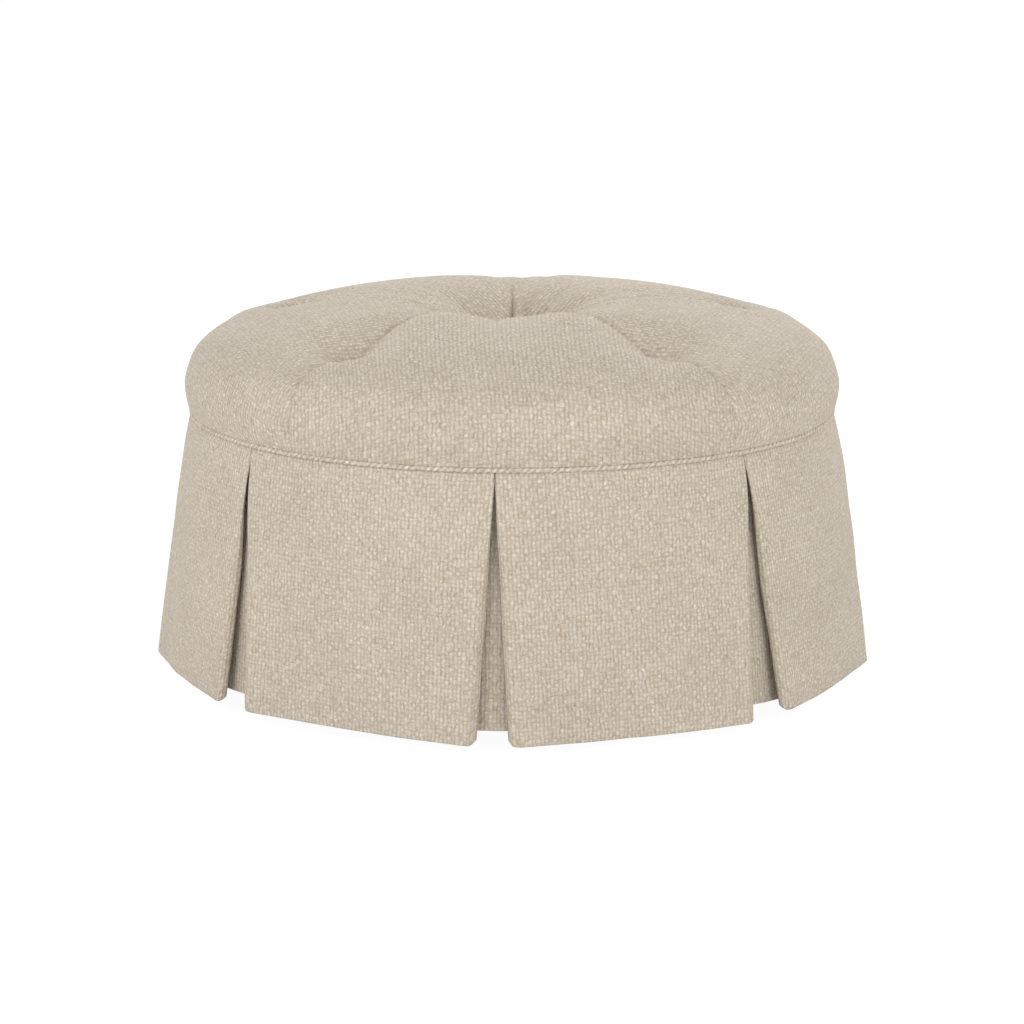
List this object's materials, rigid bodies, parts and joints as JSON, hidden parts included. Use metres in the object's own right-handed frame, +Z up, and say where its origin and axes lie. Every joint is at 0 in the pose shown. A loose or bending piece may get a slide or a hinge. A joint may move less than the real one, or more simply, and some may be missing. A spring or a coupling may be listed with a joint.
{
  "type": "ottoman",
  "caption": "Round upholstered ottoman with a tufted crowned top, piping and a tailored kick-pleat skirt over hidden legs.",
  "frame": {"origin": "on the floor, under the middle of the ottoman", "axes": "+Z up; one pleat of the skirt faces -Y, the front"},
  "size_m": [0.914, 0.914, 0.4642],
  "materials": {
    "seat_cloth": "matte",
    "skirt_cloth": "matte",
    "piping_cloth": "matte",
    "fibre": "matte",
    "foam": "matte",
    "plywood": "matte",
    "pine": "matte",
    "leg_wood": "satin",
    "card": "matte",
    "cotton": "matte",
    "black_plastic": "matte",
    "steel": "satin",
    "dust_cloth": "matte"
  },
  "bodies": {
    "root": {"seat_cover": "seat_cloth", "fibre_wrap": "fibre", "foam_core": "foam", "seat_deck": "plywood", "tuft_twines": "cotton", "tuft_anchors": "black_plastic", "piping_cover": "piping_cloth", "piping_cord": "cotton", "tack_strip": "card", "skirt_panel_1": "skirt_cloth", "skirt_panel_2": "skirt_cloth", "skirt_panel_3": "skirt_cloth", "skirt_panel_4": "skirt_cloth", "skirt_panel_5": "skirt_cloth", "skirt_panel_6": "skirt_cloth", "skirt_panel_7": "skirt_cloth", "skirt_panel_8": "skirt_cloth", "pleat_backing_1": "skirt_cloth", "pleat_backing_2": "skirt_cloth", "pleat_backing_3": "skirt_cloth", "pleat_backing_4": "skirt_cloth", "pleat_backing_5": "skirt_cloth", "pleat_backing_6": "skirt_cloth", "pleat_backing_7": "skirt_cloth", "pleat_backing_8": "skirt_cloth", "frame_band": "card", "upper_ring": "plywood", "lower_ring": "plywood", "frame_post_1": "pine", "frame_post_2": "pine", "frame_post_3": "pine", "frame_post_4": "pine", "frame_post_5": "pine", "frame_post_6": "pine", "frame_post_7": "pine", "frame_post_8": "pine", "leg_block_front_right": "pine", "leg_block_back_right": "pine", "leg_block_back_left": "pine", "leg_block_front_left": "pine", "leg_front_right": "leg_wood", "leg_back_right": "leg_wood", "leg_back_left": "leg_wood", "leg_front_left": "leg_wood", "leg_glide_front_right": "black_plastic", "leg_glide_back_right": "black_plastic", "leg_glide_back_left": "black_plastic", "leg_glide_front_left": "black_plastic", "hanger_bolts": "steel", "tee_nuts": "steel", "dust_cover": "dust_cloth", "dust_cover_staples": "steel", "deck_screws": "steel", "post_screws": "steel", "block_screws": "steel"}
  },
  "joints": []
}
